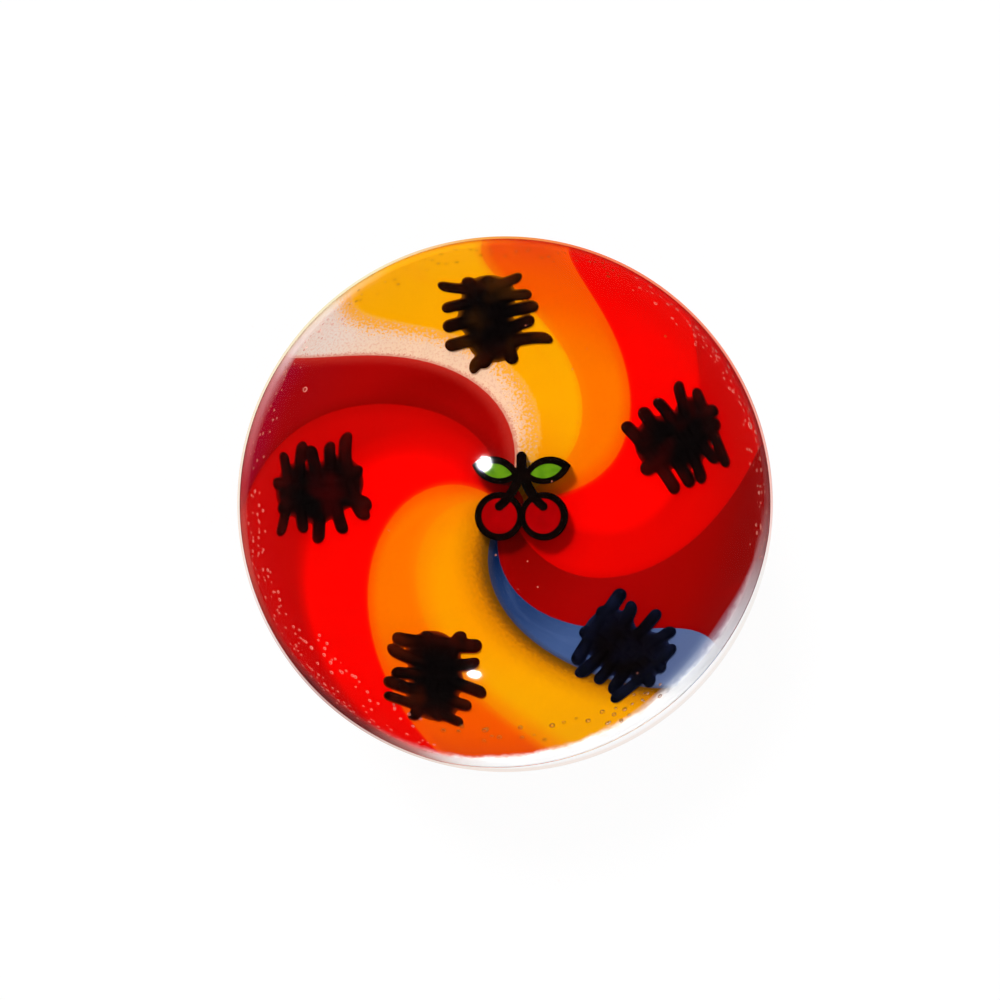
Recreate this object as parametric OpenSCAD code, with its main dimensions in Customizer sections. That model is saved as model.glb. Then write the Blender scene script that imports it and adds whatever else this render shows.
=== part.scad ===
// Round glass marble with a coloured swirl inside.
// One clear ball encloses a flat layer of twisted bands of coloured glass,
// a ring of dark hatched marks laid on that layer, and a slice of picture
// cane with a pair of cherries in the middle. Heat has fused them together,
// so each inclusion fills its own place in the clear glass face to face.
// Millimetres. Origin at the centre of the ball, +Z out through the face
// that carries the picture. The bands turn counterclockwise outwards.

/* [Ball] */
// Diameter of the clear glass ball
ball_d = 38; // [34:0.5:60]
// Clear glass outside the rim of the coloured layer
casing_t = 3; // [2:0.1:4]

/* [Coloured layer] */
// Thickness of the coloured layer
layer_t = 2; // [1:0.1:3]
// How far the rim of the layer swells out between its two faces
rim_swell = 0.6; // [0.2:0.05:0.9]
// Radius of the arc that makes one side of the layer flatter
flat_side_r = 19.5; // [18:0.5:40]
// How far the flatter side stands in from the round rim
flat_side_in = 1.3; // [0.8:0.1:4]
// Direction of the middle of the flatter side, degrees from +X
flat_side_dir = 305; // [0:1:360]

/* [Swirl] */
// Radius of the round red middle where the bands start
hub_r = 0.9; // [0.5:0.1:2]
// Direction of the first band edge, degrees from +X, in four steps from the middle to the rim
edge_turn = [9, 13, 72, 76]; // [0:1:180]
// How strongly the twist gathers halfway out, from 0 for an even spiral
twist_ease = 0.6; // [0:0.05:1]
// Share of the turn of the first orange band, in four steps outwards
orange_1_share = [18, 34, 29, 19]; // [2:1:90]
// Share of the turn of the first amber band, in four steps outwards
amber_1_share = [25, 33, 36, 31]; // [2:1:90]
// Share of the turn of the white band, in four steps outwards
white_share = [20, 31, 3, 20]; // [2:1:90]
// Share of the turn of the second dark red band, in four steps outwards
dark_red_2_share = [26, 35, 5, 35]; // [2:1:90]
// Share of the turn of the second red band, in four steps outwards
red_2_share = [21, 18, 24, 67]; // [2:1:90]
// Share of the turn of the second bright red arm, in four steps outwards
bright_red_2_share = [29, 40, 68, 9]; // [2:1:90]
// Share of the turn of the second orange band, in four steps outwards
orange_2_share = [21, 40, 37, 26]; // [2:1:90]
// Share of the turn of the second amber band, in four steps outwards
amber_2_share = [73, 45, 27, 33]; // [2:1:90]
// Share of the turn of the blue band, in four steps outwards
blue_share = [11, 15, 35, 9]; // [2:1:90]
// Share of the turn of the first dark red band, in four steps outwards
dark_red_1_share = [42, 23, 23, 48]; // [2:1:90]
// Share of the turn of the first red band, in four steps outwards
red_1_share = [44, 3, 31, 32]; // [2:1:90]
// Share of the turn of the first bright red arm, in four steps outwards
bright_red_1_share = [29, 42, 44, 31]; // [2:1:90]

/* [Hatched marks] */
// Distance of the middles of the marks in from the layer's rim
mark_in = 6.4; // [5:0.1:8]
// Direction of the first mark, degrees from +X
mark_1_dir = 95; // [85:1:105]
// Direction of the second mark
mark_2_dir = 176; // [166:1:186]
// Direction of the third mark
mark_3_dir = 248; // [238:1:258]
// Direction of the fourth mark
mark_4_dir = 310; // [300:1:320]
// Direction of the fifth mark
mark_5_dir = 381; // [371:1:391]
// Height of a mark above the layer
mark_h = 0.4; // [0.2:0.02:0.6]
// Radius of the blots that the strokes melt into in the middle of a mark
blot_r = 1.42; // [1.3:0.02:1.5]
// Distance between neighbouring blots of a mark
blot_pitch = 1.2; // [1:0.05:1.3]
// Most that a blot is slid from its even place
blot_uneven = 0.3; // [0:0.05:0.4]
// Width of a stroke
stroke_w = 0.72; // [0.6:0.02:0.76]
// Length of the longest stroke side by side, without its round ends
stroke_l = 4.3; // [3.8:0.1:4.8]
// Length of the strokes that lie across the others
cross_l = 4.9; // [4.4:0.1:5.4]
// How much shorter a stroke is for each place away from the middle of its fan
taper_l = 0.25; // [0.1:0.05:0.4]
// How much strokes differ in width, as a part of stroke_w
stroke_vary = 0.05; // [0:0.01:0.08]
// How much wider than its stroke a round end is
end_swell = 0.04; // [0.02:0.01:0.08]
// Most that a stroke is slid along from its even place
stroke_uneven = 0.25; // [0.1:0.05:0.4]
// Distance between neighbouring strokes of one fan
stroke_pitch = 0.98; // [0.94:0.02:1.04]
// Turn between neighbouring strokes of one fan
fan_turn = 4; // [2:0.5:4.5]
// Direction of the strokes side by side, degrees from the line out through the mark
fan_dir = 100; // [90:1:110]
// Direction of the strokes across them
cross_dir = 188; // [180:1:196]
// Strokes side by side in a mark
fan_strokes = 5; // [4:1:5]
// Strokes across them
cross_strokes = 2; // [1:1:2]

/* [Picture slice] */
// Thickness of the slice of picture cane
slice_t = 1.2; // [0.6:0.1:2]
// Place of the middle of the picture
slice_at = [0.8, 0.2]; // [-2:0.1:2]
// Radius of each red cherry
cherry_r = 0.88; // [0.7:0.05:1.1]
// Width of the black outline round the cherries and leaves
outline_w = 0.3; // [0.14:0.02:0.36]
// How far the cherries hang below the middle of the picture
cherry_drop = 0.8; // [0.6:0.05:1]
// Height of the top of the stalks above the middle of the picture
stalk_top = 2.35; // [1.8:0.1:2.6]
// Width of the black stalks
stalk_w = 0.46; // [0.3:0.02:0.5]
// Radius that the stalks are bent to
stalk_bend_r = 3; // [2:0.1:6]
// How far a stalk dips into the top of its cherry
stalk_dip = 0.4; // [0.2:0.05:0.6]
// Length of a leaf from tip to tip
leaf_l = 1.6; // [1.2:0.1:1.8]
// Width of a leaf at its middle
leaf_w = 0.7; // [0.4:0.02:0.8]
// Distance of the middle of a leaf from the line between the cherries
leaf_out = 1.25; // [1.1:0.05:1.4]
// Height of the middle of a leaf above the middle of the picture
leaf_up = 1.45; // [1.2:0.05:1.6]
// Turn of a leaf up from level
leaf_turn = 12; // [0:1:30]

/* [Hidden] */

ball_r = ball_d / 2;
layer_r = ball_r - casing_t;
layer_top = layer_t / 2;
rim_arc_r = (pow(layer_t / 2, 2) + pow(rim_swell, 2)) / (2 * rim_swell);
// Reach of a band's outline, well beyond the rim of the layer
outline_reach = 2 * layer_r;
// Radius of the ring that the marks stand on
mark_ring_r = layer_r - mark_in;
// Straight steps that a band's edge is drawn with
edge_steps = 30;
// Part of the outline's width that lies on each side of the line between the cherries
shared_outline = 0.7;
// Angles that scatter the strokes of the marks
stroke_phase = 137;
fan_phase = 61;
step_phase = 0;
width_phase = 90;
blot_phase = 200;
// Blots in the middle of a mark
blots = 3;
mark_dirs = [mark_1_dir, mark_2_dir, mark_3_dir, mark_4_dir, mark_5_dir];
$fn = 96;

// Bands counterclockwise, each with its shares of the turn
BANDS = [
    ["orange_1", orange_1_share],
    ["amber_1", amber_1_share],
    ["white", white_share],
    ["dark_red_2", dark_red_2_share],
    ["red_2", red_2_share],
    ["bright_red_2", bright_red_2_share],
    ["orange_2", orange_2_share],
    ["amber_2", amber_2_share],
    ["blue", blue_share],
    ["dark_red_1", dark_red_1_share],
    ["red_1", red_1_share],
    ["bright_red_1", bright_red_1_share]
];

// ---- The coloured layer ----

// Disc whose rim swells out in one shallow arc
module swelled_disc(radius) {
    inner_r = radius - rim_swell;
    rotate_extrude() {
        translate([0, -layer_t / 2]) square([inner_r, layer_t]);
        intersection() {
            translate([radius - rim_arc_r, 0]) circle(r = rim_arc_r);
            translate([inner_r, -layer_t / 2]) square([rim_swell, layer_t]);
        }
    }
}

// Whole coloured layer: a round disc with one flatter side
module layer_form() {
    flat_shift = flat_side_r - (layer_r - flat_side_in);
    intersection() {
        swelled_disc(layer_r);
        rotate([0, 0, flat_side_dir])
            translate([-flat_shift, 0, 0]) swelled_disc(flat_side_r);
    }
}

// Round middle of the swirl
module hub_form() {
    translate([0, 0, -layer_t / 2]) cylinder(r = hub_r, h = layer_t);
}

// ---- The twist of the bands ----

// Sum of the first count shares at one of the four steps outwards
function share_sum(step, count) =
    count == 0 ? 0 : BANDS[count - 1][1][step] + share_sum(step, count - 1);

// Direction of the edge before a band at one of the four steps outwards
function edge_at_step(band, step) =
    edge_turn[step] + 360 * share_sum(step, band) / share_sum(step, len(BANDS));

// Part of the way from the middle to the rim, gathered towards halfway out
function eased(part) =
    (1 - twist_ease) * part + twist_ease * (1 - cos(180 * part)) / 2;

// Direction of the edge before a band, at a given part of the way outwards
function edge_dir(band, part) =
    edge_at_step(band, 0) * pow(1 - part, 3)
    + edge_at_step(band, 1) * 3 * part * pow(1 - part, 2)
    + edge_at_step(band, 2) * 3 * pow(part, 2) * (1 - part)
    + edge_at_step(band, 3) * pow(part, 3);

// Point of a band's edge at a radius
function edge_point(band, radius) =
    let (dir = edge_dir(band, eased((radius - hub_r) / (layer_r - hub_r))))
    [radius * cos(dir), radius * sin(dir)];

// Edge before a band, from the middle of the swirl to beyond the layer's rim
function edge_line(band) = concat(
    [for (i = [0:edge_steps]) edge_point(band, hub_r + (layer_r - hub_r) * i / edge_steps)],
    [outline_reach / layer_r * edge_point(band, layer_r)]
);

function reversed(points) = [for (i = [len(points) - 1:-1:0]) points[i]];

// Outline of a band between its two spiral edges, closed through the centre
module band_outline(name) {
    band = search([name], BANDS)[0];
    polygon(concat([[0, 0]], edge_line(band), reversed(edge_line(band + 1))));
}

// One band, from the red middle to the rim
module band(name) {
    difference() {
        intersection() {
            layer_form();
            linear_extrude(height = layer_t, center = true) band_outline(name);
        }
        hub_form();
    }
}

// ---- Hatched marks on top of the layer ----

// Number from -1 to 1 that looks random but is the same every time
function scatter(fan, index, phase) = sin(stroke_phase * index + fan_phase * fan + phase);

// Outline of a stroke with round ends, which the heat swells a little
module stroke_form(length, width) {
    square([length, width], center = true);
    for (end = [-1, 1]) translate([end * length / 2, 0]) circle(d = width + end_swell);
}

// Strokes side by side, the middle ones longest
module stroke_fan(fan, count, longest) {
    for (i = [0:count - 1]) {
        across = i - (count - 1) / 2;
        rotate(fan_turn * across)
            translate([stroke_uneven * scatter(fan, i, step_phase), stroke_pitch * across])
                stroke_form(
                    longest - taper_l * abs(across),
                    stroke_w * (1 + stroke_vary * scatter(fan, i, width_phase))
                );
    }
}

// Round blots in a row over the middle of a fan
module blot_row(fan) {
    for (i = [0:blots - 1])
        translate([blot_uneven * scatter(fan, i, blot_phase), blot_pitch * (i - (blots - 1) / 2)])
            circle(r = blot_r);
}

// Strokes side by side and across, melted together in the middle and pressed flat on the layer
module mark_form(mark) {
    rotate([0, 0, mark_dirs[mark - 1]]) translate([mark_ring_r, 0, layer_top])
        linear_extrude(mark_h) {
            rotate(fan_dir) {
                stroke_fan(mark, fan_strokes, stroke_l);
                blot_row(mark);
            }
            rotate(cross_dir) stroke_fan(mark + len(mark_dirs), cross_strokes, cross_l);
        }
}

// ---- Picture slice in the middle ----

// Pointed oval between two arcs, grown evenly by a margin
module pointed_oval(length, width, margin) {
    arc_r = (length * length + width * width) / (4 * width);
    intersection_for(side = [-1, 1]) translate([0, side * (arc_r - width / 2)])
        circle(r = arc_r + margin);
}

// Curved black stalk with round ends
module stalk(top, bottom, bend) {
    chord = norm(bottom - top);
    middle = (top + bottom) / 2;
    across = [top[1] - bottom[1], bottom[0] - top[0]] / chord;
    intersection() {
        translate(middle + bend * across * sqrt(pow(stalk_bend_r, 2) - pow(chord / 2, 2)))
            difference() {
                circle(r = stalk_bend_r + stalk_w / 2);
                circle(r = stalk_bend_r - stalk_w / 2);
            }
        translate(middle) circle(d = chord);
    }
    for (end = [top, bottom]) translate(end) circle(d = stalk_w);
}

module both_stalks() {
    for (side = [-1, 1])
        stalk([0, stalk_top - stalk_w / 2], cherry_at(side) + [0, cherry_r - stalk_dip], side);
}

// Middle of the left (-1) or right (1) cherry
function cherry_at(side) = [side * (cherry_r + shared_outline * outline_w), -cherry_drop];

module cherry_outline(side) {
    difference() {
        translate(cherry_at(side)) circle(r = cherry_r);
        both_stalks();
    }
}

module leaf_outline(side, margin) {
    translate([side * leaf_out, leaf_up]) rotate([0, 0, side * leaf_turn])
        pointed_oval(leaf_l, leaf_w, margin);
}

// Gives a flat outline the slice's place and thickness
module in_slice() {
    translate([slice_at[0], slice_at[1], layer_top])
        linear_extrude(height = slice_t) children();
}

module cherry_form(side) {
    in_slice() cherry_outline(side);
}

module leaf_form(side) {
    in_slice() leaf_outline(side, 0);
}

module outline_form() {
    in_slice() difference() {
        union() {
            both_stalks();
            for (side = [-1, 1]) {
                translate(cherry_at(side)) circle(r = cherry_r + outline_w);
                leaf_outline(side, outline_w);
            }
        }
        for (side = [-1, 1]) {
            cherry_outline(side);
            leaf_outline(side, 0);
        }
    }
}

// ---- The pieces ----

module clear_ball() {
    color("aliceblue") difference() {
        sphere(d = ball_d);
        layer_form();
        for (mark = [1:len(mark_dirs)]) mark_form(mark);
        outline_form();
        for (side = [-1, 1]) {
            cherry_form(side);
            leaf_form(side);
        }
    }
}

// Both arms and the middle are one piece of glass
module bright_red_band() {
    color("red") intersection() {
        layer_form();
        union() {
            hub_form();
            for (arm = ["bright_red_1", "bright_red_2"])
                linear_extrude(height = layer_t, center = true) band_outline(arm);
        }
    }
}

module red_band_1() {
    color("firebrick") band("red_1");
}

module red_band_2() {
    color("firebrick") band("red_2");
}

module dark_red_band_1() {
    color("darkred") band("dark_red_1");
}

module dark_red_band_2() {
    color("darkred") band("dark_red_2");
}

module orange_band_1() {
    color("orangered") band("orange_1");
}

module orange_band_2() {
    color("orangered") band("orange_2");
}

module amber_band_1() {
    color("orange") band("amber_1");
}

module amber_band_2() {
    color("orange") band("amber_2");
}

module white_band() {
    color("mistyrose") band("white");
}

module blue_band() {
    color("steelblue") band("blue");
}

module hatched_mark(mark) {
    color("black") mark_form(mark);
}

module picture_outline() {
    color("black") outline_form();
}

module cherry(side) {
    color("crimson") cherry_form(side);
}

module leaf(side) {
    color("yellowgreen") leaf_form(side);
}

clear_ball();
bright_red_band();
red_band_1();
red_band_2();
dark_red_band_1();
dark_red_band_2();
orange_band_1();
orange_band_2();
amber_band_1();
amber_band_2();
white_band();
blue_band();
hatched_mark(1);  // hatched_mark_1
hatched_mark(2);  // hatched_mark_2
hatched_mark(3);  // hatched_mark_3
hatched_mark(4);  // hatched_mark_4
hatched_mark(5);  // hatched_mark_5
picture_outline();
cherry(-1);  // left_cherry
cherry(1);  // right_cherry
leaf(-1);  // left_leaf
leaf(1);  // right_leaf
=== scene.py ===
import math
import random

import bmesh
import bpy
from mathutils import Matrix, Vector


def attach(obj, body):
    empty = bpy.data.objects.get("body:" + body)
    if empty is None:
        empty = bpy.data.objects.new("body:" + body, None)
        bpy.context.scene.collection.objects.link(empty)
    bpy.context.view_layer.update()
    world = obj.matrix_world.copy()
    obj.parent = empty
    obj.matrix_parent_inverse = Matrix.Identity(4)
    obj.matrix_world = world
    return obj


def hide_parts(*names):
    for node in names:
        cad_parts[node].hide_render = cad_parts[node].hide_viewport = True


# Glass marble: a clear ball round a thin layer of twisted colours, with five
# hatched marks and a slice of picture cane on that layer. Metres throughout.

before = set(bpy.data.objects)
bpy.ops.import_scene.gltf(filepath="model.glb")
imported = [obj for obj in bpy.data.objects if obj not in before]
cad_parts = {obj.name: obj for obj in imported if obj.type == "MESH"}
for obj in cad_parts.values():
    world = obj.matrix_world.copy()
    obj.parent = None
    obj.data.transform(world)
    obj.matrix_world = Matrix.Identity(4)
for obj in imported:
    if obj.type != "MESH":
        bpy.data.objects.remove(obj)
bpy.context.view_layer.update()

MM = 0.001

# ---- Sizes of the marble ----

BALL_R = 19.0 * MM
LAYER_R = 16.0 * MM
LAYER_TOP = 1.0 * MM
HUB_R = 0.9 * MM
FLAT_SIDE_R = 19.5 * MM
FLAT_SIDE_IN = 1.3 * MM
FLAT_SIDE_DIR = 305.0

# Twist of the layer: direction of the first band edge, in four steps from the middle to the rim
EDGE_TURN = (9.0, 13.0, 72.0, 76.0)
TWIST_EASE = 0.6

# Bands counterclockwise, each with its share of the turn in those four steps
BAND_SHARES = {
    "orange_1": (18, 34, 29, 19),
    "amber_1": (25, 33, 36, 31),
    "white": (20, 31, 3, 20),
    "dark_red_2": (26, 35, 5, 35),
    "red_2": (21, 18, 24, 67),
    "bright_red_2": (29, 40, 68, 9),
    "orange_2": (21, 40, 37, 26),
    "amber_2": (73, 45, 27, 33),
    "blue": (11, 15, 35, 9),
    "dark_red_1": (42, 23, 23, 48),
    "red_1": (44, 3, 31, 32),
    "bright_red_1": (29, 42, 44, 31),
}
BAND_ORDER = list(BAND_SHARES)

# Hatched marks
MARK_RING_R = 9.6 * MM
MARK_DIRS = (95.0, 176.0, 248.0, 310.0, 381.0)
MARK_H = 0.4 * MM
BLOTS = 3
BLOT_R = 1.42 * MM
BLOT_PITCH = 1.2 * MM
BLOT_UNEVEN = 0.3 * MM
BLOT_H = 0.8 * MARK_H
STROKE_W = 0.72 * MM
STROKE_LENGTHS = (4.3 * MM, 4.9 * MM)
TAPER_L = 0.25 * MM
STROKE_VARY = 0.05
STROKE_UNEVEN = 0.25 * MM
STROKE_PITCH = 0.98 * MM
FAN_TURN = 4.0
FAN_DIRS = (100.0, 188.0)
FAN_STROKES = (5, 2)
STROKE_BEND = 0.5 * MM
BEND_VARY = 0.5
# Share of its bend by which a thread's middle lies to the other side
BEND_MIDDLE = 0.4
STROKE_PHASE = 137.0
FAN_PHASE = 61.0
STEP_PHASE = 0.0
WIDTH_PHASE = 90.0
BLOT_PHASE = 200.0

GLASS_IOR = 1.5
WHITE = (1.0, 1.0, 1.0, 1.0)


def srgb(red, green, blue):
    """Colour given in display values 0-255, as Blender's linear colour."""
    def linear(value):
        share = value / 255
        return share / 12.92 if share <= 0.04045 else ((share + 0.055) / 1.055) ** 2.4
    return (linear(red), linear(green), linear(blue), 1.0)


# ---- Node helpers ----


class Nodes:
    """Short ways to add and join the nodes of one material, group or world."""

    def __init__(self, tree):
        self.tree = tree

    def add(self, kind, **settings):
        node = self.tree.nodes.new(kind)
        for name, value in settings.items():
            setattr(node, name, value)
        return node

    def feed(self, node, socket, value):
        if isinstance(value, bpy.types.NodeSocket):
            self.tree.links.new(value, node.inputs[socket])
        elif value is not None:
            node.inputs[socket].default_value = value

    def math(self, operation, first, second=None, third=None, clamp=False):
        node = self.add("ShaderNodeMath", operation=operation, use_clamp=clamp)
        for place, value in enumerate((first, second, third)):
            self.feed(node, place, value)
        return node.outputs[0]

    def distance(self, first, second):
        node = self.add("ShaderNodeVectorMath", operation="DISTANCE")
        self.feed(node, 0, first)
        self.feed(node, 1, second)
        return node.outputs["Value"]

    def combine(self, x, y, z):
        node = self.add("ShaderNodeCombineXYZ")
        for place, value in enumerate((x, y, z)):
            self.feed(node, place, value)
        return node.outputs[0]

    def ramp(self, value, low, high, low_to=0.0, high_to=1.0):
        """Value taken smoothly from one range to another and held at its ends."""
        node = self.add("ShaderNodeMapRange", interpolation_type="SMOOTHSTEP")
        for place, item in enumerate((value, low, high, low_to, high_to)):
            self.feed(node, place, item)
        return node.outputs[0]

    def noise(self, vector, scale, detail=2.0, roughness=0.5, distortion=0.0):
        node = self.add("ShaderNodeTexNoise")
        self.feed(node, "Vector", vector)
        self.feed(node, "Scale", scale)
        self.feed(node, "Detail", detail)
        self.feed(node, "Roughness", roughness)
        self.feed(node, "Distortion", distortion)
        return node.outputs["Fac"]

    def mix(self, factor, first, second, blend="MIX"):
        node = self.add("ShaderNodeMix", data_type="RGBA", blend_type=blend)
        self.feed(node, "Factor", factor)
        for name, value in (("A", first), ("B", second)):
            sockets = [s for s in node.inputs if s.name == name and s.type == "RGBA"]
            if isinstance(value, bpy.types.NodeSocket):
                self.tree.links.new(value, sockets[0])
            else:
                sockets[0].default_value = value
        return [s for s in node.outputs if s.type == "RGBA"][0]

    def shader(self, kind, **inputs):
        """Output of a new shader node, whose inputs are given with _ for a space."""
        node = self.add(kind)
        for name, value in inputs.items():
            self.feed(node, name.replace("_", " "), value)
        return node.outputs[0]

    def blend(self, share, first, second):
        """First shader, and the second one for its share."""
        node = self.add("ShaderNodeMixShader")
        for place, value in enumerate((share, first, second)):
            self.feed(node, place, value)
        return node.outputs[0]

    def direction(self, x, y):
        """Direction round the middle in degrees from +X, and as a share of the whole turn."""
        degrees = self.math("DEGREES", self.math("ARCTAN2", y, x))
        return degrees, self.math("DIVIDE", self.math("WRAP", degrees, 360.0, 0.0), 360.0)

    def split(self, vector):
        node = self.add("ShaderNodeSeparateXYZ")
        self.feed(node, 0, vector)
        return node.outputs

    def place(self):
        """Point of the surface in the part's own coordinates."""
        return self.add("ShaderNodeTexCoord").outputs["Object"]


def new_material(name):
    material = bpy.data.materials.new(name)
    material.use_nodes = True
    material.node_tree.nodes.clear()
    return material, Nodes(material.node_tree)


def finish_material(nodes, shader):
    nodes.feed(nodes.add("ShaderNodeOutputMaterial"), "Surface", shader)


def finish_clear(nodes, shader):
    """Surface of clear glass or air, which lets the light of the lamps pass."""
    shadow = nodes.add("ShaderNodeLightPath").outputs["Is Shadow Ray"]
    finish_material(nodes, nodes.blend(shadow, shader, nodes.shader("ShaderNodeBsdfTransparent")))


def dress(piece, material):
    piece.data.materials.clear()
    piece.data.materials.append(material)


# ---- Swirl coordinates, shared by the bands of the layer ----

# Thin glass at the layer's rim: direction, colour, how strongly it shows and how clear it is. The
# colours are partly the thin glass's own and partly painted light and shade of the rim: paler veils
# and darker fades
RIM_GLASS = (
    (0, srgb(190, 100, 100), 0.55, 0.0),
    (30, srgb(190, 4, 4), 0.4, 0.0),
    (60, srgb(218, 6, 1), 0.4, 0.0),
    (86, srgb(210, 56, 4), 0.5, 0.0),
    (96, srgb(240, 134, 3), 0.4, 0.0),
    (116, srgb(248, 190, 30), 0.5, 0.0),
    (132, srgb(226, 200, 166), 0.6, 0.1),
    (144, srgb(208, 160, 156), 0.8, 0.2),
    (152, srgb(200, 96, 102), 0.95, 0.08),
    (176, srgb(196, 50, 58), 0.75, 0.0),
    (192, srgb(236, 120, 104), 0.5, 0.0),
    (208, srgb(190, 60, 50), 0.5, 0.0),
    (222, srgb(104, 48, 52), 0.75, 0.0),
    (238, srgb(124, 64, 62), 0.75, 0.0),
    (250, srgb(200, 110, 84), 0.6, 0.15),
    (260, srgb(240, 180, 150), 0.7, 0.75),
    (268, srgb(252, 206, 160), 0.8, 1.0),
    (294, srgb(252, 226, 200), 0.8, 1.0),
    (308, srgb(214, 220, 232), 0.9, 1.0),
    (320, srgb(184, 192, 216), 0.95, 0.65),
    (334, srgb(176, 140, 158), 0.95, 0.4),
    (348, srgb(180, 96, 104), 0.8, 0.1),
    (360, srgb(190, 100, 100), 0.55, 0.0),
)
# Painted glow of the clear part of the rim: light it gives off, standing in for the light from
# behind that it passes on
RIM_PAINTED_GLOW = 0.45
# Depths in from the rim, in mm, where the clear part of the glass starts and is complete
CLEAR_FROM = 1.3
CLEAR_AT = 0.35
# How far, in mm, and how finely the border of the clear part wanders
CLEAR_UNEVEN = 1.1
CLEAR_GRAIN = 1500.0
# How far in from the rim the colour changes, in mm: at the least, and more where it shows most
TINT_MIN = 0.3
TINT_REACH = 1.6
TINT_GROWTH = 3.0
TINT_FADE = 0.6
# Heights between which the layer's side wall turns into the thin glass of its top
THIN_TOP = (-0.6 * MM, 0.1 * MM)
# How close the drawn-out lines of the glass lie along the twist, outwards and downwards
STREAKS_ALONG = 4.0
STREAKS_OUT = 110.0
STREAKS_DOWN = 300.0


def rim_ramp(nodes, turn, values):
    """Colour ramp round the rim of the layer from pairs of direction and colour."""
    node = nodes.add("ShaderNodeValToRGB")
    nodes.feed(node, 0, turn)
    stops = node.color_ramp.elements
    for index, (direction, colour) in enumerate(values):
        if index >= 2:
            stops.new(1.0)
        stops[index].position = direction / 360
        stops[index].color = colour
    return node.outputs


# What the group gives for a point of the layer
SWIRL_OUTPUTS = (
    ("Float", ("Direction", "Step 1", "Step 2", "Step 3", "Step 4")),
    ("Float", ("Radius", "Tint share", "Clear share")),
    ("Color", ("Rim tint",)),
    ("Vector", ("Streaks",)),
)


def swirl_group():
    """Group that gives, for a point of the layer, where it lies along the twist."""
    tree = bpy.data.node_groups.new("swirl_place", "ShaderNodeTree")
    for kind, names in SWIRL_OUTPUTS:
        for name in names:
            tree.interface.new_socket(name, in_out="OUTPUT", socket_type="NodeSocket" + kind)
    nodes = Nodes(tree)
    place = nodes.place()
    x, y, z = nodes.split(place)
    flat = nodes.combine(x, y, 0.0)
    radius = nodes.distance(flat, (0.0, 0.0, 0.0))
    direction, turn = nodes.direction(x, y)

    part = nodes.math("DIVIDE", nodes.math("SUBTRACT", radius, HUB_R), LAYER_R - HUB_R, clamp=True)
    turned = nodes.math("COSINE", nodes.math("MULTIPLY", part, math.pi))
    wave = nodes.math("MULTIPLY", nodes.math("SUBTRACT", 1.0, turned), TWIST_EASE / 2)
    outwards = nodes.math("MULTIPLY_ADD", part, 1 - TWIST_EASE, wave)
    inwards = nodes.math("SUBTRACT", 1.0, outwards)
    both = nodes.math("MULTIPLY", nodes.math("MULTIPLY", inwards, outwards), 3.0)
    steps = (
        nodes.math("POWER", inwards, 3.0),
        nodes.math("MULTIPLY", both, inwards),
        nodes.math("MULTIPLY", both, outwards),
        nodes.math("POWER", outwards, 3.0),
    )
    twist = 0.0
    for step, step_turn in zip(steps, EDGE_TURN):
        twist = nodes.math("MULTIPLY_ADD", step, step_turn, twist)
    along = nodes.math("RADIANS", nodes.math("SUBTRACT", direction, twist))
    streaks = nodes.combine(
        nodes.math("MULTIPLY", nodes.math("COSINE", along), STREAKS_ALONG),
        nodes.math("MULTIPLY", nodes.math("SINE", along), STREAKS_ALONG),
        nodes.math("MULTIPLY_ADD", radius, STREAKS_OUT, nodes.math("MULTIPLY", z, STREAKS_DOWN)),
    )

    shift = FLAT_SIDE_R - (LAYER_R - FLAT_SIDE_IN)
    flat_dir = math.radians(FLAT_SIDE_DIR)
    flat_centre = (-shift * math.cos(flat_dir), -shift * math.sin(flat_dir), 0.0)
    from_round = nodes.math("SUBTRACT", LAYER_R, radius)
    from_flat = nodes.math("SUBTRACT", FLAT_SIDE_R, nodes.distance(flat, flat_centre))
    rim_depth = nodes.math("MULTIPLY", nodes.math("MINIMUM", from_round, from_flat), 1 / MM)
    tints = rim_ramp(nodes, turn, [(way, (*tint[:3], show)) for way, tint, show, _ in RIM_GLASS])
    clears = rim_ramp(nodes, turn, [(way, (clear,) * 3 + (1.0,)) for way, _, _, clear in RIM_GLASS])
    strongest = nodes.math("POWER", tints["Alpha"], TINT_GROWTH)
    start = nodes.math("MULTIPLY_ADD", strongest, TINT_REACH, TINT_MIN)
    left = nodes.math("SUBTRACT", 1.0, nodes.math("DIVIDE", rim_depth, start), clamp=True)
    upper = nodes.ramp(z, *THIN_TOP)
    tint_share = nodes.math("MULTIPLY", nodes.math("POWER", left, TINT_FADE), tints["Alpha"])
    tint_share = nodes.math("MULTIPLY", tint_share, upper)
    cloud = nodes.noise(place, CLEAR_GRAIN, detail=3.0, roughness=0.6)
    cloud = nodes.math("SUBTRACT", cloud, 0.5)
    uneven_depth = nodes.math("MULTIPLY_ADD", cloud, CLEAR_UNEVEN, rim_depth)
    cleared = nodes.ramp(uneven_depth, CLEAR_FROM, CLEAR_AT)
    clear_share = nodes.math("MULTIPLY", cleared, clears["Color"])
    clear_share = nodes.math("MULTIPLY", clear_share, upper)

    output = nodes.add("NodeGroupOutput")
    for name, value in zip(("Step 1", "Step 2", "Step 3", "Step 4"), steps):
        nodes.feed(output, name, value)
    for name, value in (
        ("Direction", direction),
        ("Radius", radius),
        ("Tint share", tint_share),
        ("Clear share", clear_share),
        ("Rim tint", tints["Color"]),
        ("Streaks", streaks),
    ):
        nodes.feed(output, name, value)
    return tree


SWIRL_PLACE = swirl_group()


def edge_directions(band):
    """Direction of the edge before a band in each of the four steps outwards."""
    directions = []
    for step, turn in enumerate(EDGE_TURN):
        total = sum(shares[step] for shares in BAND_SHARES.values())
        passed = BAND_ORDER[:BAND_ORDER.index(band)]
        before = sum(BAND_SHARES[name][step] for name in passed)
        directions.append(turn + 360 * before / total)
    return directions


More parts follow.
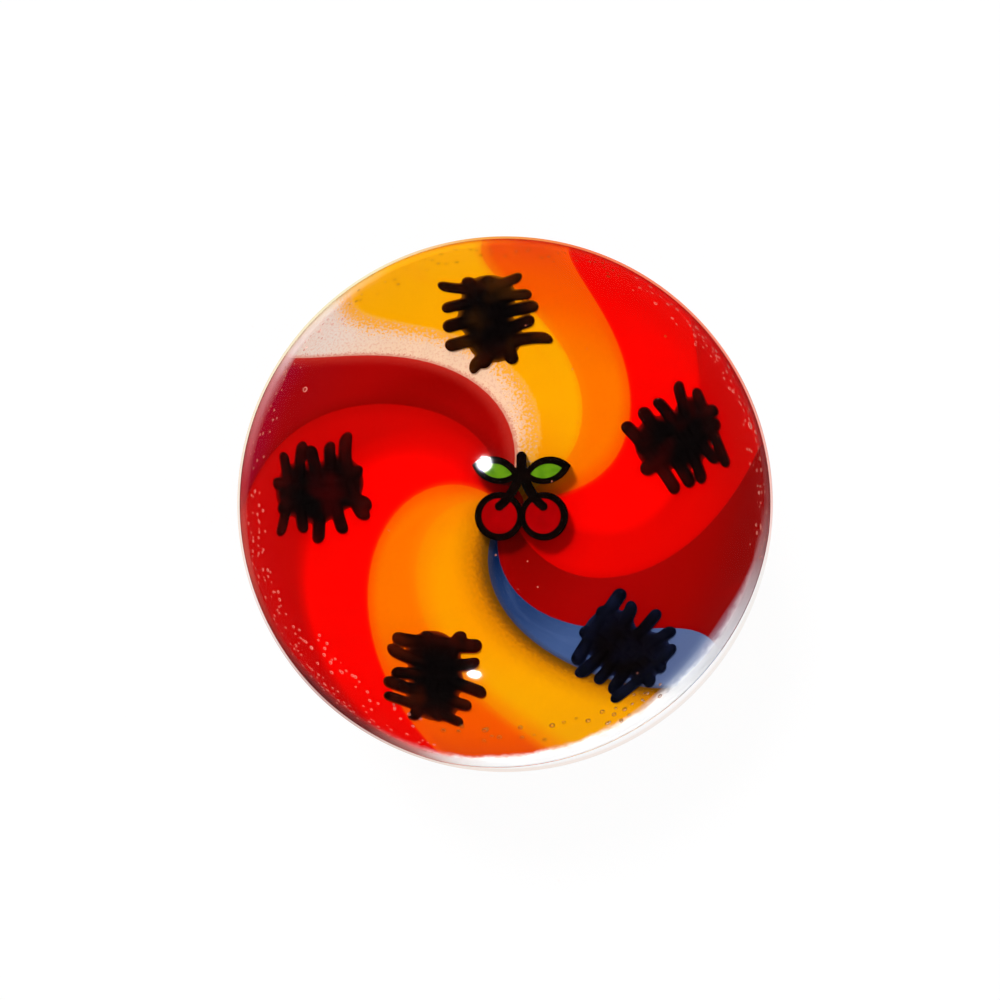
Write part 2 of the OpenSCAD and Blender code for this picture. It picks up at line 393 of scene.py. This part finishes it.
class Swirl:
    """Swirl coordinates inside one band's material."""

    def __init__(self, nodes):
        self.nodes = nodes
        group = nodes.add("ShaderNodeGroup", node_tree=SWIRL_PLACE)
        self.out = group.outputs

    def beside_edge(self, band):
        """Distance in millimetres from the edge before a band, along the turn."""
        nodes = self.nodes
        edge = 0.0
        for step, direction in enumerate(edge_directions(band)):
            edge = nodes.math("MULTIPLY_ADD", self.out["Step " + str(step + 1)], direction, edge)
        apart = nodes.math("SUBTRACT", self.out["Direction"], edge)
        apart = nodes.math("WRAP", apart, 180.0, -180.0)
        arc = nodes.math("MULTIPLY", nodes.math("RADIANS", apart), self.out["Radius"])
        return nodes.math("MULTIPLY", nodes.math("ABSOLUTE", arc), 1 / MM)


# Fine lines of a band: where in their pattern they show, and how strongly at the most
LINES_SHOW = (0.52, 0.78)
LINES_SHARE = 0.35
# Grains in which neighbouring glasses mix: their scale, and their reach in widths of the border
GRAIN_SCALE = 7000.0
GRAIN_REACH = 4
# From this unevenness on, the border's grains are crisp, by this share of its width
CRISP_FROM = 0.5
CRISP = 0.35
SPECKLE_SOFT = 0.1


def band_glass(name, colours, streak, edges=(), speckle=None, ragged=0.25):
    """Opaque coloured glass of one band.

    colours holds (radius in mm, colour) from the middle outwards, streak is the colour of its
    fine lines. edges holds (band, width, colour, strength): within width mm of the edge before
    that band the glass runs into colour, beside the blue partly as painted shade. speckle is
    (colour, threshold, amount), and ragged says how unevenly the neighbours run into each other.
    """
    material, nodes = new_material(name)
    swirl = Swirl(nodes)
    place = nodes.place()
    base = colours[0][1]
    for (inner, _), (outer, colour) in zip(colours, colours[1:]):
        base = nodes.mix(nodes.ramp(swirl.out["Radius"], inner * MM, outer * MM), base, colour)
    lines = nodes.noise(swirl.out["Streaks"], 2.2, detail=5.0, roughness=0.62, distortion=0.3)
    base = nodes.mix(nodes.ramp(lines, *LINES_SHOW, 0.0, LINES_SHARE), base, streak)
    grain = nodes.noise(place, GRAIN_SCALE, detail=3.0, roughness=0.75)
    uneven = nodes.math("SUBTRACT", grain, 0.5)
    crisp = CRISP if ragged > CRISP_FROM else 0.0
    for band, width, colour, strength in edges:
        reach = width * GRAIN_REACH * ragged
        apart = nodes.math("MULTIPLY_ADD", uneven, reach, swirl.beside_edge(band))
        mixed = nodes.ramp(apart, width * crisp, width * (1 - crisp), strength, 0.0)
        base = nodes.mix(mixed, base, colour)
    if speckle:
        colour, threshold, amount = speckle
        shown = nodes.ramp(grain, threshold, threshold + SPECKLE_SOFT, 0.0, amount)
        base = nodes.mix(shown, base, colour)
    # Rim tint: partly the thin glass's own colour, partly painted light and shade of the rim
    base = nodes.mix(swirl.out["Tint share"], base, swirl.out["Rim tint"])
    # Where the rim is clear, the glass is painted white and glows: painted light standing in for
    # what shows through it
    base = nodes.mix(swirl.out["Clear share"], base, WHITE)
    finish_material(nodes, nodes.shader(
        "ShaderNodeBsdfPrincipled",
        Base_Color=base,
        Roughness=0.5,
        Specular_IOR_Level=0.0,
        Emission_Color=WHITE,
        Emission_Strength=nodes.math("MULTIPLY", swirl.out["Clear share"], RIM_PAINTED_GLOW),
    ))
    return material


BRIGHT_RED = srgb(255, 1, 0)
ORANGE = srgb(254, 114, 0)
RED_ORANGE = srgb(253, 82, 0)
PAINTED_OLIVE_SHADE = srgb(84, 56, 8)


def dress_bands():
    """Coloured glass for every band, with soft or crisp runs between neighbours."""
    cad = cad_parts
    dress(cad["bright_red_band"], band_glass(
        "bright_red_swirl_glass",
        ((11.5, BRIGHT_RED), (14.0, srgb(242, 1, 0)), (15.8, srgb(228, 3, 0))),
        srgb(246, 0, 0),
        edges=(
            ("bright_red_2", 1.1, srgb(220, 1, 0), 0.9),
            ("bright_red_1", 0.5, srgb(236, 1, 0), 0.7),
            ("orange_2", 0.3, srgb(253, 50, 0), 0.6),
            ("orange_1", 0.25, srgb(253, 50, 0), 0.5),
        ),
    ))
    dress(cad["red_band_1"], band_glass(
        "red_swirl_glass_1",
        (
            (2.0, srgb(206, 1, 1)), (5.0, srgb(231, 1, 0)),
            (9.0, srgb(226, 1, 0)), (14.0, srgb(204, 2, 1)),
        ),
        srgb(238, 0, 0),
        edges=(("red_1", 0.5, srgb(206, 1, 0), 0.7),),
    ))
    dress(cad["red_band_2"], band_glass(
        "red_swirl_glass_2",
        ((4.0, srgb(203, 1, 0)), (15.8, srgb(198, 2, 2))),
        srgb(214, 1, 0),
        edges=(
            ("red_2", 0.9, srgb(182, 1, 0), 0.8),
            ("bright_red_2", 1.2, srgb(222, 1, 0), 0.9),
        ),
        speckle=(srgb(236, 40, 34), 0.58, 0.45),
    ))
    dress(cad["dark_red_band_1"], band_glass(
        "dark_red_swirl_glass_1",
        (
            (2.0, srgb(136, 1, 0)), (7.0, srgb(162, 1, 1)),
            (10.0, srgb(158, 1, 0)), (13.5, srgb(140, 2, 2)),
        ),
        srgb(172, 2, 2),
        edges=(("dark_red_1", 0.2, srgb(120, 2, 12), 0.5),),
        speckle=(srgb(196, 30, 28), 0.57, 0.5),
    ))
    dress(cad["dark_red_band_2"], band_glass(
        "dark_red_swirl_glass_2",
        (
            (3.0, srgb(160, 2, 1)), (7.0, srgb(148, 1, 0)), (9.5, srgb(165, 2, 2)),
            (12.5, srgb(160, 2, 6)), (14.8, srgb(158, 2, 34)),
        ),
        srgb(178, 4, 4),
        edges=(
            ("dark_red_2", 0.8, srgb(196, 44, 34), 0.8),
            ("red_2", 0.9, srgb(140, 1, 0), 0.7),
        ),
        speckle=(srgb(206, 34, 30), 0.57, 0.55),
    ))
    for arm in ("1", "2"):
        dress(cad["orange_band_" + arm], band_glass(
            "orange_swirl_glass_" + arm,
            ((8.0, ORANGE), (11.5, srgb(252, 88, 0)), (15.5, srgb(236, 70, 2))),
            srgb(254, 98, 0),
            edges=(
                ("orange_" + arm, 1.0, RED_ORANGE, 0.95),
                ("amber_" + arm, 0.8, srgb(254, 122, 1), 0.8),
            ),
        ))
    dress(cad["amber_band_1"], band_glass(
        "amber_swirl_glass_1",
        ((3.0, srgb(254, 155, 2)), (5.5, srgb(254, 165, 1)), (13.5, srgb(255, 172, 1))),
        srgb(254, 154, 1),
        edges=(
            ("amber_1", 0.5, srgb(254, 146, 0), 0.7),
            ("white", 0.25, srgb(253, 180, 70), 0.6),
        ),
        ragged=0.9,
    ))
    dress(cad["amber_band_2"], band_glass(
        "amber_swirl_glass_2",
        ((5.0, srgb(254, 152, 0)), (10.0, srgb(254, 168, 1)), (14.0, srgb(255, 171, 2))),
        srgb(254, 154, 1),
        edges=(
            ("amber_2", 1.8, srgb(253, 132, 1), 0.9),
            # Beside the blue: painted shade, darkening to olive, partly the blue glass running into
            # the amber
            ("blue", 2.4, srgb(186, 98, 2), 0.8),
            ("blue", 1.0, PAINTED_OLIVE_SHADE, 0.9),
        ),
    ))
    dress(cad["white_band"], band_glass(
        "white_swirl_glass",
        ((4.0, srgb(253, 206, 170)), (9.0, srgb(248, 206, 172)), (13.5, srgb(241, 219, 206))),
        srgb(246, 196, 168),
        edges=(
            ("white", 1.5, srgb(254, 168, 16), 0.95),
            ("dark_red_2", 0.35, srgb(222, 130, 110), 0.8),
        ),
        speckle=(srgb(234, 168, 138), 0.5, 0.55),
        ragged=0.9,
    ))
    dress(cad["blue_band"], band_glass(
        "blue_swirl_glass",
        (
            (2.5, srgb(8, 30, 68)), (5.0, srgb(36, 58, 104)), (8.0, srgb(66, 90, 140)),
            (12.5, srgb(92, 108, 151)), (14.3, srgb(164, 180, 214)), (15.5, srgb(196, 202, 228)),
        ),
        srgb(84, 106, 156),
        edges=(("blue", 0.4, srgb(58, 56, 72), 0.7),),
    ))


# ---- Mesh helpers ----


def piece_from(name, mesh_builder, smooth=True):
    """Mesh object at the origin whose shape a bmesh function makes."""
    mesh = bpy.data.meshes.new(name)
    work = bmesh.new()
    mesh_builder(work)
    bmesh.ops.remove_doubles(work, verts=work.verts, dist=1e-7)
    bmesh.ops.recalc_face_normals(work, faces=work.faces)
    work.to_mesh(mesh)
    work.free()
    mesh.polygons.foreach_set("use_smooth", [smooth] * len(mesh.polygons))
    piece = bpy.data.objects.new(name, mesh)
    bpy.context.scene.collection.objects.link(piece)
    return piece


def apply_modifiers(piece):
    """Piece's mesh replaced by the result of its modifiers."""
    graph = bpy.context.evaluated_depsgraph_get()
    shaped = bpy.data.meshes.new_from_object(piece.evaluated_get(graph))
    old = piece.data
    piece.modifiers.clear()
    piece.data = shaped
    bpy.data.meshes.remove(old)
    shaped.name = piece.name
    shaped.polygons.foreach_set("use_smooth", [True] * len(shaped.polygons))


# ---- Clear ball ----

# How deep the shallow waves of the hand-shaped surface are
BALL_WAVE = 0.03 * MM
# Ripples that the polish has left in the surface
RIPPLE_H = 0.5 * MM
RIPPLE_SCALE = 90.0
# Shares of mirrored light between which the edge takes on its tint, and those between which it
# mirrors more and more, up to EDGE_SHINE; the face of the ball mirrors FACE_SHINE of its light
EDGE_TINTED = (0.3, 0.5)
EDGE_MIRRORS = (0.4, 0.95)
EDGE_SHINE = 0.8
FACE_SHINE = 0.03
# Heights above and below the layer between which its colours leave the edge
LAYER_SEEN = (3.0 * MM, 6.0 * MM)
# Painted tint of the ball's outermost edge, in what it bends and mirrors: a grey that paints a
# darker outline, and, by direction near the layer, which colours it, the layer's colours painted in
# as reflections
EDGE_GREY = srgb(226, 230, 236)
EDGE_TINTS = (
    (0, srgb(250, 206, 200)),
    (30, srgb(252, 150, 130)),
    (75, srgb(250, 130, 84)),
    (95, srgb(250, 176, 84)),
    (120, srgb(254, 244, 200)),
    (200, srgb(250, 230, 226)),
    (228, srgb(206, 170, 164)),
    (262, srgb(244, 232, 224)),
    (345, srgb(246, 244, 242)),
    (360, srgb(250, 206, 200)),
)


def ball_wave(direction):
    """How far the hand-shaped surface lies inside a true ball, 0 to 1."""
    x, y, z = direction
    total = math.sin(3.1 * x + 1.7 * y + 0.4) + math.sin(2.3 * y - 2.9 * z + 1.1)
    total += math.sin(3.7 * z + 2.1 * x + 2.6) + 0.5 * math.sin(7.3 * x - 5.1 * y + 4.7 * z)
    return 0.5 + total / 7


def build_ball(work):
    bmesh.ops.create_icosphere(work, subdivisions=7, radius=BALL_R)
    for vert in work.verts:
        direction = vert.co.normalized()
        vert.co = direction * (BALL_R - BALL_WAVE * ball_wave(direction))


def ball_glass():
    material, nodes = new_material("clear_ball_glass")
    place = nodes.place()
    ripples = nodes.noise(place, RIPPLE_SCALE)
    ripple = nodes.shader("ShaderNodeBump", Strength=0.02, Distance=RIPPLE_H, Height=ripples)
    x, y, z = nodes.split(place)
    _, turn = nodes.direction(x, y)
    near_layer = nodes.ramp(nodes.math("ABSOLUTE", z), *LAYER_SEEN, 1.0, 0.0)
    # Painted edge: grey outline, and the layer's colours as painted reflections
    edge = nodes.mix(near_layer, EDGE_GREY, rim_ramp(nodes, turn, EDGE_TINTS)["Color"])
    mirrored = nodes.shader("ShaderNodeFresnel", IOR=GLASS_IOR)
    inside = nodes.add("ShaderNodeNewGeometry").outputs["Backfacing"]
    outside = nodes.math("SUBTRACT", 1.0, inside)
    at_edge = nodes.math("MULTIPLY", nodes.ramp(mirrored, *EDGE_TINTED), outside)
    tinted = nodes.mix(at_edge, WHITE, edge)
    bends = nodes.shader(
        "ShaderNodeBsdfRefraction", Color=tinted, Roughness=0.0, IOR=GLASS_IOR, Normal=ripple,
    )
    mirrors = nodes.shader("ShaderNodeBsdfGlossy", Color=tinted, Roughness=0.05, Normal=ripple)
    grazing = nodes.ramp(mirrored, *EDGE_MIRRORS, 0.0, EDGE_SHINE)
    grazing = nodes.math("MULTIPLY", grazing, outside)
    share = nodes.math("MULTIPLY_ADD", mirrored, FACE_SHINE, grazing)
    finish_clear(nodes, nodes.blend(share, bends, mirrors))
    return material


# ---- Hatched marks ----


def scatter(fan, index, phase):
    """Number from -1 to 1 that looks random but is the same every time."""
    return math.sin(math.radians(STROKE_PHASE * index + FAN_PHASE * fan + phase))


def add_stroke(work, length, width, height, bend, place):
    """One thread of dark glass, round across and at its ends, bent a little, lying on z = 0."""
    made = bmesh.ops.create_uvsphere(work, u_segments=20, v_segments=24, radius=1.0)
    for vert in made["verts"]:
        reach = 2 - 4 * math.acos(max(-1.0, min(1.0, vert.co.z))) / math.pi
        pole = abs(reach) > 2 - 1e-6
        around = Vector((0, 0)) if pole else Vector((vert.co.x, vert.co.y)).normalized()
        cap = (abs(reach) - 1) * math.pi / 2 if abs(reach) > 1 else 0.0
        x = length / 2 * max(-1.0, min(1.0, reach))
        x += math.copysign(width / 2 * math.sin(cap), reach)
        sweep = bend * ((2 * x / length) ** 2 - BEND_MIDDLE)
        y = width / 2 * math.cos(cap) * around.x + sweep
        vert.co = Vector((x, y, height * math.cos(cap) * around.y))
    bmesh.ops.transform(work, matrix=place, verts=made["verts"])


def build_mark(work, number):
    """Threads side by side and across, melted together in the middle."""
    turn = Matrix.Rotation(math.radians(MARK_DIRS[number]), 4, "Z")
    spot = turn @ Matrix.Translation((MARK_RING_R, 0, LAYER_TOP))
    for fan, count in enumerate(FAN_STROKES):
        key = number + 1 + fan * len(MARK_DIRS)
        fan_place = spot @ Matrix.Rotation(math.radians(FAN_DIRS[fan]), 4, "Z")
        for index in range(count):
            across = index - (count - 1) / 2
            shift = (STROKE_UNEVEN * scatter(key, index, STEP_PHASE), STROKE_PITCH * across, 0)
            place = fan_place @ Matrix.Rotation(math.radians(FAN_TURN * across), 4, "Z")
            place = place @ Matrix.Translation(shift)
            width = STROKE_W * (1 + STROKE_VARY * scatter(key, index, WIDTH_PHASE))
            length = STROKE_LENGTHS[fan] - TAPER_L * abs(across)
            uneven = BEND_VARY * scatter(key, index, BLOT_PHASE)
            bend = STROKE_BEND * (across / count + uneven)
            add_stroke(work, length, width, MARK_H, bend, place)
    first_fan = spot @ Matrix.Rotation(math.radians(FAN_DIRS[0]), 4, "Z")
    blot = Matrix.Diagonal((BLOT_R, BLOT_R, BLOT_H, 1.0))
    for index in range(BLOTS):
        slid = BLOT_UNEVEN * scatter(number + 1, index, BLOT_PHASE)
        across = BLOT_PITCH * (index - (BLOTS - 1) / 2)
        place = first_fan @ Matrix.Translation((slid, across, 0)) @ blot
        bmesh.ops.create_uvsphere(work, u_segments=40, v_segments=16, radius=1.0, matrix=place)


THREAD_GRAIN = 1300.0
# Reaches from the mark's middle between which the ends take on their colour, and how unevenly
ENDS_FROM = (2.0 * MM, 3.6 * MM)
ENDS_UNEVEN = 1.6 * MM
# Heights between which the thin sides turn dark, and how unevenly
SIDES_TO = (0.04 * MM, 0.24 * MM)
SIDES_UNEVEN = 0.06 * MM
# Thinner spots of the threads: their scale, where they lie in it, and how strongly the band below
# shows in them
PATCH_SCALE = 420.0
PATCHES_FROM = (0.46, 0.66)
THIN_PATCHES = 0.08
# Colours of each mark's thin sides and ends, taken on from the bands it lies over
OVER_AMBER = (srgb(150, 84, 4), srgb(48, 14, 4), srgb(24, 6, 3))
OVER_RED = (srgb(150, 2, 1), srgb(48, 6, 4), srgb(22, 4, 3))
OVER_ORANGE = (srgb(160, 50, 2), srgb(50, 10, 4), srgb(24, 5, 3))
OVER_BLUE = (srgb(30, 36, 68), srgb(14, 18, 38), srgb(6, 7, 16))
MARK_TINTS = (OVER_AMBER, OVER_RED, OVER_ORANGE, OVER_BLUE, OVER_RED)


def thread_glass(name, centre, tints):
    """Near-black glass that shows, where a thread is thin, the colour of the band below it.

    tints holds the colour of the thin sides, then the two colours of the ends.
    """
    sides, first_end, second_end = tints
    material, nodes = new_material(name)
    place = nodes.place()
    centred = nodes.add("ShaderNodeMapping", vector_type="POINT")
    nodes.feed(centred, "Vector", place)
    centred.inputs["Location"].default_value = (-centre[0], -centre[1], -LAYER_TOP)
    reach = nodes.add("ShaderNodeVectorMath", operation="LENGTH")
    nodes.feed(reach, 0, centred.outputs[0])
    grain = nodes.noise(place, THREAD_GRAIN, detail=3.0, roughness=0.6)
    uneven = nodes.math("MULTIPLY", grain, ENDS_UNEVEN)
    ends = nodes.ramp(nodes.math("ADD", reach.outputs["Value"], uneven), *ENDS_FROM)
    tint = nodes.mix(nodes.ramp(grain, 0.4, 0.6), first_end, second_end)
    colour = nodes.mix(ends, srgb(6, 3, 3), tint)
    above = nodes.split(centred.outputs[0])["Z"]
    height = nodes.math("MULTIPLY_ADD", grain, SIDES_UNEVEN, above)
    thin = nodes.ramp(height, *SIDES_TO, 1.0, 0.0)
    patches = nodes.noise(place, PATCH_SCALE, detail=2.0)
    patches = nodes.ramp(patches, *PATCHES_FROM, 0.0, THIN_PATCHES)
    colour = nodes.mix(nodes.math("MAXIMUM", thin, patches), colour, sides)
    finish_material(nodes, nodes.shader(
        "ShaderNodeBsdfPrincipled", Base_Color=colour, Roughness=0.4, Specular_IOR_Level=0.0,
    ))
    return material


# Edge length of the mesh in which the threads melt together
MELT_MESH = 0.06 * MM


def make_mark(number):
    """One mark's threads, melted into each other, in place of its plain solid."""
    label = str(number + 1)
    piece = piece_from("hatched_threads_" + label, lambda work: build_mark(work, number))
    melt = piece.modifiers.new("melt", "REMESH")
    melt.mode = "VOXEL"
    melt.voxel_size = MELT_MESH
    melt.use_smooth_shade = True
    soften = piece.modifiers.new("soften", "SMOOTH")
    soften.factor = 0.5
    soften.iterations = 3
    apply_modifiers(piece)
    angle = math.radians(MARK_DIRS[number])
    centre = (MARK_RING_R * math.cos(angle), MARK_RING_R * math.sin(angle))
    dress(piece, thread_glass("dark_thread_glass_" + label, centre, MARK_TINTS[number]))
    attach(piece, "root")
    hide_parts("hatched_mark_" + label)


# ---- Picture slice ----


# Clouds in the glass of the slice: their scale, and where in it the second colour takes over
CANE_CLOUDS = 1800.0
CLOUDY_FROM = (0.35, 0.7)


def cane_glass(name, main, cloudy):
    """Glass of the picture slice, a little uneven in colour."""
    material, nodes = new_material(name)
    cloud = nodes.noise(nodes.place(), CANE_CLOUDS, detail=3.0, roughness=0.6)
    colour = nodes.mix(nodes.ramp(cloud, *CLOUDY_FROM), main, cloudy)
    finish_material(nodes, nodes.shader(
        "ShaderNodeBsdfPrincipled", Base_Color=colour, Roughness=0.4, Specular_IOR_Level=0.0,
    ))
    return material


def dress_picture():
    """Glass of the slice's outline, cherries and leaves."""
    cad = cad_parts
    black = cane_glass("black_outline_glass", srgb(5, 3, 2), srgb(16, 5, 4))
    dress(cad["picture_outline"], black)
    for side in ("left", "right"):
        red = cane_glass("cherry_glass_" + side, srgb(168, 0, 2), srgb(148, 0, 1))
        green = cane_glass("leaf_glass_" + side, srgb(100, 148, 20), srgb(78, 126, 12))
        dress(cad[side + "_cherry"], red)
        dress(cad[side + "_leaf"], green)


# ---- Bubbles caught in the clear glass ----

# Arcs of fine bubbles: directions, radii in mm, heights in mm, sizes in mm and their number
FINE_ARCS = (
    ((176, 215), (13.4, 15.6), (0.9, 1.8), (0.06, 0.11), 90),
    ((215, 250), (12.4, 14.0), (1.2, 2.2), (0.07, 0.13), 40),
    ((215, 255), (14.2, 15.8), (0.9, 1.5), (0.06, 0.11), 80),
    ((-12, 60), (14.2, 16.2), (0.9, 2.0), (0.06, 0.13), 130),
    ((130, 172), (13.6, 15.8), (1.1, 2.2), (0.05, 0.09), 50),
    ((0, 360), (2.0, 14.0), (1.6, 6.0), (0.03, 0.05), 20),
)
FINE_SINGLES = (
    ((-11.0, 6.3, 1.9), 0.17),
    ((-13.2, 7.9, 1.6), 0.20),
    ((15.0, 4.8, 1.9), 0.25),
    ((14.0, 8.6, 1.4), 0.13),
)
# Arcs and single places of the larger bubbles, whose edges are painted golden, given the same way
GOLDEN_ARCS = (
    ((254, 296), (12.0, 13.4), (1.4, 2.4), (0.07, 0.15), 22),
    ((294, 311), (12.8, 14.2), (1.3, 2.6), (0.08, 0.15), 34),
    ((62, 128), (13.8, 16.0), (1.1, 2.2), (0.06, 0.11), 60),
)
GOLDEN_SINGLES = (
    ((-1.1, -12.4, 2.0), 0.17),
    ((2.6, -12.2, 2.2), 0.17),
    ((4.6, -12.0, 2.0), 0.15),
    ((8.9, 9.3, 2.0), 0.09),
)


BUBBLE_SEED = 11
# Least distance between the middles of two bubbles, in sums of their radii
BUBBLE_GAP = 2.2


def build_bubbles(work, arcs, singles):
    """Round bubbles scattered along arcs, each clear of the others, and single ones."""
    pick = random.Random(BUBBLE_SEED + len(arcs))
    spots = []
    for turn, reach, height, size, count in arcs:
        for _ in range(count):
            angle = math.radians(pick.uniform(*turn))
            radius = pick.uniform(*reach)
            bubble = pick.uniform(*size)
            across = (radius * math.cos(angle), radius * math.sin(angle))
            place = Vector((*across, pick.uniform(*height)))
            if all((place - spot).length > BUBBLE_GAP * (bubble + near) for spot, near in spots):
                spots.append((place, bubble))
    spots.extend(singles)
    for centre, size in spots:
        place = Matrix.Translation(Vector(centre) * MM)
        bmesh.ops.create_icosphere(work, subdivisions=2, radius=size * MM, matrix=place)


def air_in_glass(name, ring, glow):
    """Air, whose grazing edges mirror what lies round it in a ring painted in the colour given.

    glow is the share of the ring given off as a painted glow, standing in for the bright
    surroundings.
    """
    material, nodes = new_material(name)
    ior = 1 / GLASS_IOR
    bends = nodes.shader("ShaderNodeBsdfRefraction", Color=WHITE, Roughness=0.0, IOR=ior)
    mirrors = nodes.shader("ShaderNodeBsdfGlossy", Color=ring, Roughness=0.0)
    # Painted glow of the ring: light given off in place of a reflection
    bright = nodes.shader("ShaderNodeEmission", Color=ring, Strength=1.0)
    edge = nodes.blend(glow, mirrors, bright)
    finish_clear(nodes, nodes.blend(nodes.shader("ShaderNodeFresnel", IOR=ior), bends, edge))
    return material


# ---- Studio ----

# Even light from all round, on surfaces; the background itself shows at 1
AMBIENT = 0.37
FLOOR_GREY = (0.9, 0.9, 0.9, 1.0)
# Share of the floor that shows as plain background, the rest takes light and shadow
FLOOR_GLOW = 0.95
FLOOR_HALF_W = 2.0
CAMERA_AT = (-0.3545 * MM, 0.2836 * MM, 0.9)
VIEW_W = 70.9 * MM


def backdrop_rays(nodes):
    """1 for rays that show the background, 0 for those that gather light off matt surfaces."""
    ray = nodes.add("ShaderNodeLightPath")
    seen = nodes.math("MAXIMUM", ray.outputs["Is Camera Ray"], ray.outputs["Is Glossy Ray"])
    seen = nodes.math("MAXIMUM", seen, ray.outputs["Is Transmission Ray"])
    direct = nodes.math("LESS_THAN", ray.outputs["Diffuse Depth"], 0.5)
    return nodes.math("MULTIPLY", seen, direct)


def make_world():
    world = bpy.data.worlds.new("studio_world")
    world.use_nodes = True
    world.node_tree.nodes.clear()
    nodes = Nodes(world.node_tree)
    plain = nodes.shader("ShaderNodeBackground", Color=WHITE, Strength=AMBIENT)
    seen = nodes.shader("ShaderNodeBackground", Color=WHITE, Strength=1.0)
    output = nodes.add("ShaderNodeOutputWorld")
    nodes.feed(output, "Surface", nodes.blend(backdrop_rays(nodes), plain, seen))
    bpy.context.scene.world = world


def make_floor():
    def build(work):
        bmesh.ops.create_grid(work, x_segments=1, y_segments=1, size=FLOOR_HALF_W)
        bmesh.ops.translate(work, verts=work.verts, vec=(0, 0, -BALL_R))
    floor = piece_from("floor", build, smooth=False)
    material, nodes = new_material("pale_floor")
    matt = nodes.shader("ShaderNodeBsdfDiffuse", Color=FLOOR_GREY)
    glow = nodes.shader("ShaderNodeEmission", Color=WHITE, Strength=1.0)
    share = nodes.math("MULTIPLY", backdrop_rays(nodes), FLOOR_GLOW)
    finish_material(nodes, nodes.blend(share, matt, glow))
    dress(floor, material)


# Round lamps: degrees off +Z, degrees round from +X, distance, width, power, and whether the lamp
# gives only the highlight in the glass instead of the light on the colours
LAMPS = {
    "key_lamp": (33.0, 116.6, 1.2, 0.26, 10.8, False),
    "soft_overhead": (8.0, 300.0, 1.5, 1.6, 11.6, False),
    "small_bright_lamp": (19.3, 116.6, 1.0, 0.111, 62.0, True),
    "low_side_lamp": (79.0, 260.0, 1.2, 0.088, 39.0, True),
}


def add_lamp(name):
    """One of the round lamps, turned to face the marble."""
    off_axis, direction, distance, size, power, shine_only = LAMPS[name]
    lean = math.radians(off_axis)
    turn = math.radians(direction)
    out = math.sin(lean)
    way = Vector((out * math.cos(turn), out * math.sin(turn), math.cos(lean)))
    light = bpy.data.lights.new(name, "AREA")
    light.shape = "DISK"
    light.size = size
    light.energy = power
    lamp = bpy.data.objects.new(name, light)
    lamp.location = way * distance
    lamp.rotation_euler = way.to_track_quat("Z", "Y").to_euler()
    lamp.visible_glossy = shine_only
    lamp.visible_diffuse = not shine_only
    lamp.visible_transmission = False
    bpy.context.scene.collection.objects.link(lamp)


def make_camera():
    data = bpy.data.cameras.new("straight_down")
    data.sensor_width = 36.0
    data.lens = data.sensor_width * CAMERA_AT[2] / VIEW_W
    data.clip_end = 10.0
    camera = bpy.data.objects.new("straight_down", data)
    camera.location = CAMERA_AT
    bpy.context.scene.collection.objects.link(camera)
    bpy.context.scene.camera = camera


# ---- The marble ----

make_camera()
make_world()
make_floor()
for lamp_name in LAMPS:
    add_lamp(lamp_name)

ball = piece_from("glass_ball", build_ball)
dress(ball, ball_glass())
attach(ball, "root")
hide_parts("clear_ball")

dress_bands()
for mark_number in range(len(MARK_DIRS)):
    make_mark(mark_number)
dress_picture()

# Ring colours are painted reflections and shade: pale pink for the fine bubbles, dark gold for the
# larger ones
for name, arcs, singles, ring, glow in (
    ("fine_bubbles", FINE_ARCS, FINE_SINGLES, srgb(255, 164, 144), 0.38),
    ("golden_bubbles", GOLDEN_ARCS, GOLDEN_SINGLES, srgb(176, 112, 30), 0.25),
):
    bubbles = piece_from(name, lambda work: build_bubbles(work, arcs, singles))
    dress(bubbles, air_in_glass("air_of_" + name, ring, glow))
    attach(bubbles, "root")

bpy.context.scene.view_settings.view_transform = "Standard"
